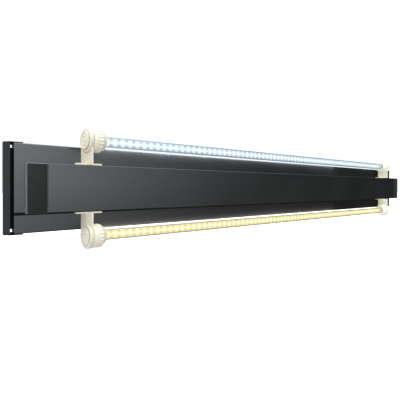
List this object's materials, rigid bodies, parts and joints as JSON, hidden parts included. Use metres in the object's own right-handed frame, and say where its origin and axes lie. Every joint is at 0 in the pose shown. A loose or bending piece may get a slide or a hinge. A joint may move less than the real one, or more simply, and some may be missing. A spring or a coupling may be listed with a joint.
{
  "type": "led aquarium light",
  "caption": "Long flat aquarium light: a raised bar on a wide back plate, a clear LED tube in sealed lamp holders along each long side, and sliding end brackets that rest on the tank's rim.",
  "frame": {"origin": "middle of the lamp's overall box: midway between the end brackets, midway across the width, midway through the depth", "axes": "+X along the lamp towards the cable gland's end, +Z across its width, -Y the way the lit side faces; in use the lit side faces down onto the water"},
  "size_m": [1.0176, 0.05, 0.144],
  "materials": {
    "bar_paint": "satin",
    "plate_paint": "satin",
    "matte_black": "matte",
    "bracket_plastic": "satin",
    "core_metal": "satin",
    "cream_plastic": "semi-gloss",
    "white_insert": "matte",
    "clear_tube": "clear",
    "aluminium": "bare",
    "led_board": "satin",
    "plug_white": "satin",
    "black_rubber": "matte",
    "zinc_steel": "zinc plated",
    "lead_sheath": "matte"
  },
  "bodies": {
    "housing": {"back_plate": "plate_paint", "cable_gland": "black_rubber", "core_housing": "core_metal", "cover_gasket": "black_rubber", "driver_board": "led_board", "driver_capacitor": "black_rubber", "driver_transformer": "zinc_steel", "front_cover": "bar_paint", "gland_nut": "white_insert", "left_cap_screw": "zinc_steel", "left_end_cap": "matte_black", "lower_left_holder": "cream_plastic", "lower_left_holder_cover": "cream_plastic", "lower_left_holder_nut": "zinc_steel", "lower_left_lead": "lead_sheath", "lower_left_socket_insert": "white_insert", "lower_right_holder": "cream_plastic", "lower_right_holder_cover": "cream_plastic", "lower_right_holder_nut": "zinc_steel", "lower_right_lead": "lead_sheath", "lower_right_socket_insert": "white_insert", "plate_screw_1": "zinc_steel", "plate_screw_2": "zinc_steel", "plate_screw_3": "zinc_steel", "plate_screw_4": "zinc_steel", "right_cap_screw": "zinc_steel", "right_end_cap": "matte_black", "terminal_block": "white_insert", "upper_left_holder": "cream_plastic", "upper_left_holder_cover": "cream_plastic", "upper_left_holder_nut": "zinc_steel", "upper_left_lead": "lead_sheath", "upper_left_socket_insert": "white_insert", "upper_right_holder": "cream_plastic", "upper_right_holder_cover": "cream_plastic", "upper_right_holder_nut": "zinc_steel", "upper_right_lead": "lead_sheath", "upper_right_socket_insert": "white_insert"},
    "upper_tube": {"upper_tube_sleeve": "clear_tube", "upper_led_carrier": "aluminium", "upper_led_board": "led_board", "upper_left_tube_plug": "plug_white", "upper_right_tube_plug": "plug_white"},
    "lower_tube": {"lower_tube_sleeve": "clear_tube", "lower_led_carrier": "aluminium", "lower_led_board": "led_board", "lower_left_tube_plug": "plug_white", "lower_right_tube_plug": "plug_white"},
    "left_bracket": {"left_end_bracket": "bracket_plastic"},
    "right_bracket": {"right_end_bracket": "bracket_plastic"},
    "upper_left_seal": {"upper_left_seal_ring": "black_rubber"},
    "upper_left_nut": {"upper_left_union_nut": "cream_plastic"},
    "upper_right_seal": {"upper_right_seal_ring": "black_rubber"},
    "upper_right_nut": {"upper_right_union_nut": "cream_plastic"},
    "lower_left_seal": {"lower_left_seal_ring": "black_rubber"},
    "lower_left_nut": {"lower_left_union_nut": "cream_plastic"},
    "lower_right_seal": {"lower_right_seal_ring": "black_rubber"},
    "lower_right_nut": {"lower_right_union_nut": "cream_plastic"}
  },
  "joints": [
    {"name": "upper_tube_turn", "type": "hinge", "parent": "housing", "child": "upper_tube", "pos_m": [0, -0.01035, 0.0573], "axis": [1, 0, 0], "range_deg": [0, 90]},
    {"name": "lower_tube_turn", "type": "hinge", "parent": "housing", "child": "lower_tube", "pos_m": [0, -0.01035, -0.0573], "axis": [1, 0, 0], "range_deg": [0, 90]},
    {"name": "left_bracket_slide", "type": "slide", "parent": "housing", "child": "left_bracket", "axis": [-1, 0, 0], "range_m": [0, 0.02]},
    {"name": "right_bracket_slide", "type": "slide", "parent": "housing", "child": "right_bracket", "axis": [1, 0, 0], "range_m": [0, 0.02]},
    {"name": "upper_left_nut_travel", "type": "slide", "parent": "housing", "child": "upper_left_seal", "axis": [1, 0, 0], "range_m": [0, 0.0121]},
    {"name": "upper_left_nut_turn", "type": "hinge", "parent": "upper_left_seal", "child": "upper_left_nut", "pos_m": [-0.4015, -0.01035, 0.0573], "axis": [1, 0, 0], "range_deg": [0, 1440]},
    {"name": "upper_right_nut_travel", "type": "slide", "parent": "housing", "child": "upper_right_seal", "axis": [-1, 0, 0], "range_m": [0, 0.0121]},
    {"name": "upper_right_nut_turn", "type": "hinge", "parent": "upper_right_seal", "child": "upper_right_nut", "pos_m": [0.4015, -0.01035, 0.0573], "axis": [-1, 0, 0], "range_deg": [0, 1440]},
    {"name": "lower_left_nut_travel", "type": "slide", "parent": "housing", "child": "lower_left_seal", "axis": [1, 0, 0], "range_m": [0, 0.0121]},
    {"name": "lower_left_nut_turn", "type": "hinge", "parent": "lower_left_seal", "child": "lower_left_nut", "pos_m": [-0.4015, -0.01035, -0.0573], "axis": [1, 0, 0], "range_deg": [0, 1440]},
    {"name": "lower_right_nut_travel", "type": "slide", "parent": "housing", "child": "lower_right_seal", "axis": [-1, 0, 0], "range_m": [0, 0.0121]},
    {"name": "lower_right_nut_turn", "type": "hinge", "parent": "lower_right_seal", "child": "lower_right_nut", "pos_m": [0.4015, -0.01035, -0.0573], "axis": [-1, 0, 0], "range_deg": [0, 1440]}
  ],
  "couplings": [
    {"joint": "upper_left_nut_travel", "follows": "upper_left_nut_turn", "m_per_rad": 0.00047746},
    {"joint": "upper_right_nut_travel", "follows": "upper_right_nut_turn", "m_per_rad": 0.00047746},
    {"joint": "lower_left_nut_travel", "follows": "lower_left_nut_turn", "m_per_rad": 0.00047746},
    {"joint": "lower_right_nut_travel", "follows": "lower_right_nut_turn", "m_per_rad": 0.00047746}
  ]
}
